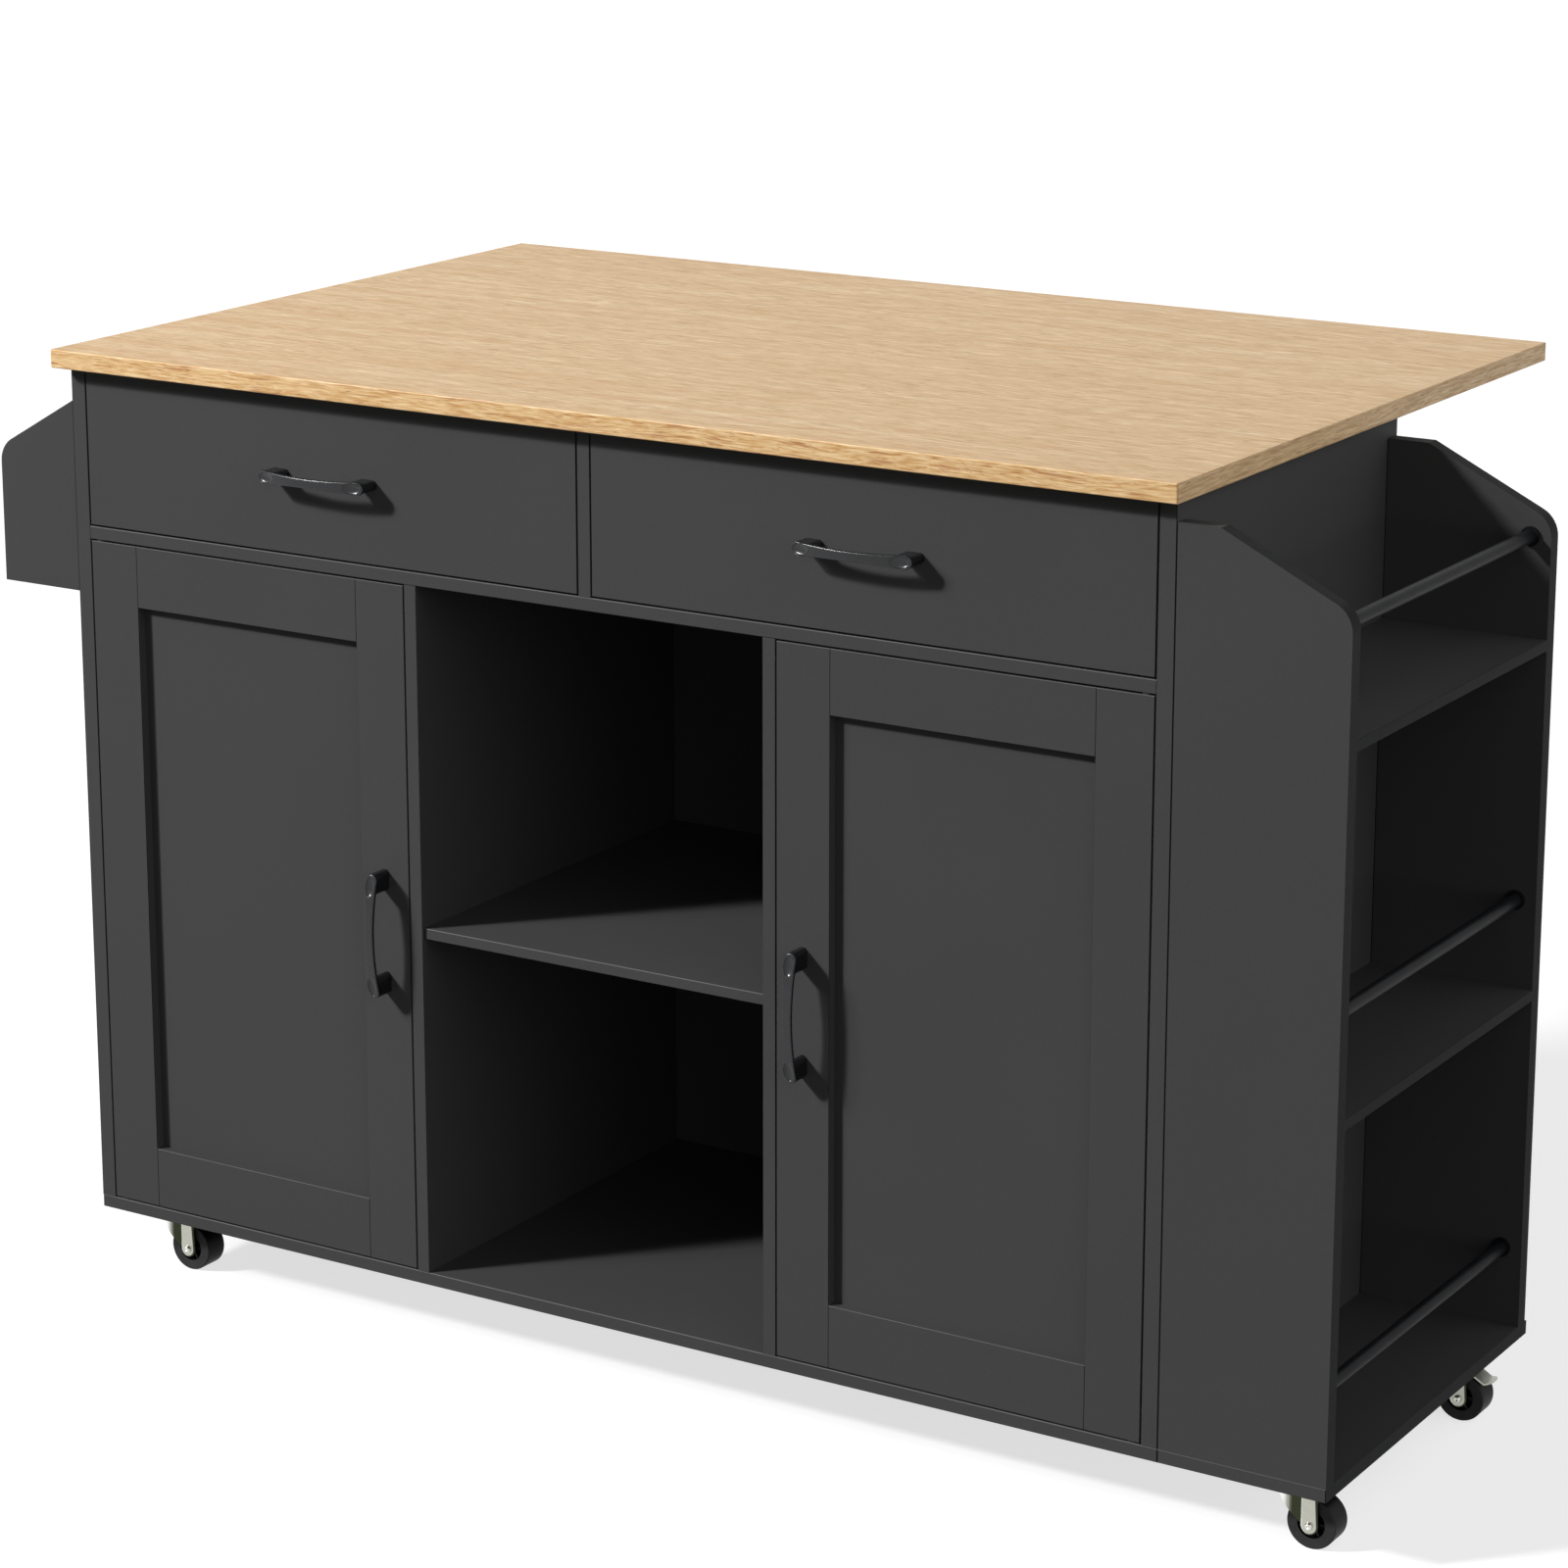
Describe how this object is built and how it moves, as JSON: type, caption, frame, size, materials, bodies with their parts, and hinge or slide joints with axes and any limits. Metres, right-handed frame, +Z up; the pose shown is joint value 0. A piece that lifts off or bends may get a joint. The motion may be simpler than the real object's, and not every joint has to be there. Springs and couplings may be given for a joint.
{
  "type": "kitchen island cart",
  "caption": "Rolling kitchen island: drawers over shaker-door cupboards and an open bay, an end rack with rails, a towel rack and an oak top that overhangs at the back.",
  "frame": {"origin": "bottom centre of the bounding box, on the floor under the wheels", "axes": "+X along the length from the towel rack to the end rack, the drawers and doors face -Y, +Z up"},
  "size_m": [1.36, 0.753, 0.892],
  "materials": {
    "oak_top": "satin oak laminate, grain along X",
    "charcoal_board": "matte charcoal painted board",
    "black_metal": "satin black coating",
    "stamped_steel": "zinc-plated stamped steel",
    "bright_steel": "zinc-plated steel",
    "wheel_plastic": "moulded black plastic",
    "nylon": "black nylon"
  },
  "bodies": {
    "cart": {"worktop": "oak_top", "base_board": "charcoal_board", "left_side_panel": "charcoal_board", "right_side_panel": "charcoal_board", "back_panel": "charcoal_board", "left_divider": "charcoal_board", "right_divider": "charcoal_board", "drawer_divider": "charcoal_board", "drawer_deck": "charcoal_board", "rear_stretcher": "charcoal_board", "worktop_cleats": "charcoal_board", "centre_shelf": "charcoal_board", "cupboard_shelves": "charcoal_board", "rack_front_panel": "charcoal_board", "rack_back_panel": "charcoal_board", "rack_shelves": "charcoal_board", "towel_front_bracket": "charcoal_board", "towel_back_bracket": "charcoal_board", "rack_rails": "black_metal", "towel_bar": "black_metal", "shelf_pins": "bright_steel", "screws": "bright_steel", "slide_channels": "bright_steel", "caster_plates": "bright_steel", "door_bushes": "nylon", "door_catches": "nylon"},
    "left_drawer": {"left_drawer_front": "charcoal_board", "left_drawer_sides": "charcoal_board", "left_drawer_back": "charcoal_board", "left_drawer_bottom": "charcoal_board", "left_drawer_runners": "bright_steel", "left_drawer_handle": "black_metal"},
    "left_door": {"left_door_frame": "charcoal_board", "left_door_panel": "charcoal_board", "left_door_fittings": "bright_steel", "left_door_handle": "black_metal"},
    "right_drawer": {"right_drawer_front": "charcoal_board", "right_drawer_sides": "charcoal_board", "right_drawer_back": "charcoal_board", "right_drawer_bottom": "charcoal_board", "right_drawer_runners": "bright_steel", "right_drawer_handle": "black_metal"},
    "right_door": {"right_door_frame": "charcoal_board", "right_door_panel": "charcoal_board", "right_door_fittings": "bright_steel", "right_door_handle": "black_metal"},
    "front_left_swivel": {"front_left_fork": "stamped_steel", "front_left_axle": "bright_steel"},
    "front_left_roller": {"front_left_wheel": "wheel_plastic"},
    "front_right_swivel": {"front_right_fork": "stamped_steel", "front_right_axle": "bright_steel"},
    "front_right_roller": {"front_right_wheel": "wheel_plastic"},
    "rear_left_swivel": {"rear_left_fork": "stamped_steel", "rear_left_axle": "bright_steel"},
    "rear_left_roller": {"rear_left_wheel": "wheel_plastic"},
    "rear_left_brake": {"rear_left_brake_pedal": "stamped_steel"},
    "rear_right_swivel": {"rear_right_fork": "stamped_steel", "rear_right_axle": "bright_steel"},
    "rear_right_roller": {"rear_right_wheel": "wheel_plastic"},
    "rear_right_brake": {"rear_right_brake_pedal": "stamped_steel"}
  },
  "joints": [
    {"name": "left_drawer_slide", "type": "slide", "parent": "cart", "child": "left_drawer", "axis": [0, -1, 0], "range_m": [0, 0.26]},
    {"name": "right_drawer_slide", "type": "slide", "parent": "cart", "child": "right_drawer", "axis": [0, -1, 0], "range_m": [0, 0.26]},
    {"name": "left_door_hinge", "type": "hinge", "parent": "cart", "child": "left_door", "pos_m": [-0.567, -0.345, 0.3965], "axis": [0, 0, -1], "range_deg": [0, 100]},
    {"name": "right_door_hinge", "type": "hinge", "parent": "cart", "child": "right_door", "pos_m": [0.503, -0.345, 0.3965], "axis": [0, 0, 1], "range_deg": [0, 100]},
    {"name": "front_left_swivel_turn", "type": "hinge", "parent": "cart", "child": "front_left_swivel", "pos_m": [-0.542, -0.2935, 0.0547], "axis": [0, 0, 1], "continuous": true},
    {"name": "front_left_wheel_roll", "type": "hinge", "parent": "front_left_swivel", "child": "front_left_roller", "pos_m": [-0.524, -0.2935, 0.022], "axis": [0, 1, 0], "continuous": true},
    {"name": "front_right_swivel_turn", "type": "hinge", "parent": "cart", "child": "front_right_swivel", "pos_m": [0.63, -0.2935, 0.0547], "axis": [0, 0, 1], "continuous": true},
    {"name": "front_right_wheel_roll", "type": "hinge", "parent": "front_right_swivel", "child": "front_right_roller", "pos_m": [0.648, -0.2935, 0.022], "axis": [0, 1, 0], "continuous": true},
    {"name": "rear_left_swivel_turn", "type": "hinge", "parent": "cart", "child": "rear_left_swivel", "pos_m": [-0.542, 0.0115, 0.0547], "axis": [0, 0, 1], "continuous": true},
    {"name": "rear_left_wheel_roll", "type": "hinge", "parent": "rear_left_swivel", "child": "rear_left_roller", "pos_m": [-0.524, 0.0115, 0.022], "axis": [0, 1, 0], "continuous": true},
    {"name": "rear_left_brake_press", "type": "hinge", "parent": "rear_left_swivel", "child": "rear_left_brake", "pos_m": [-0.522, 0.0115, 0.0486], "axis": [0, 1, 0], "range_deg": [0, 5.3]},
    {"name": "rear_right_swivel_turn", "type": "hinge", "parent": "cart", "child": "rear_right_swivel", "pos_m": [0.63, 0.0115, 0.0547], "axis": [0, 0, 1], "continuous": true},
    {"name": "rear_right_wheel_roll", "type": "hinge", "parent": "rear_right_swivel", "child": "rear_right_roller", "pos_m": [0.648, 0.0115, 0.022], "axis": [0, 1, 0], "continuous": true},
    {"name": "rear_right_brake_press", "type": "hinge", "parent": "rear_right_swivel", "child": "rear_right_brake", "pos_m": [0.65, 0.0115, 0.0486], "axis": [0, 1, 0], "range_deg": [0, 5.3]}
  ]
}
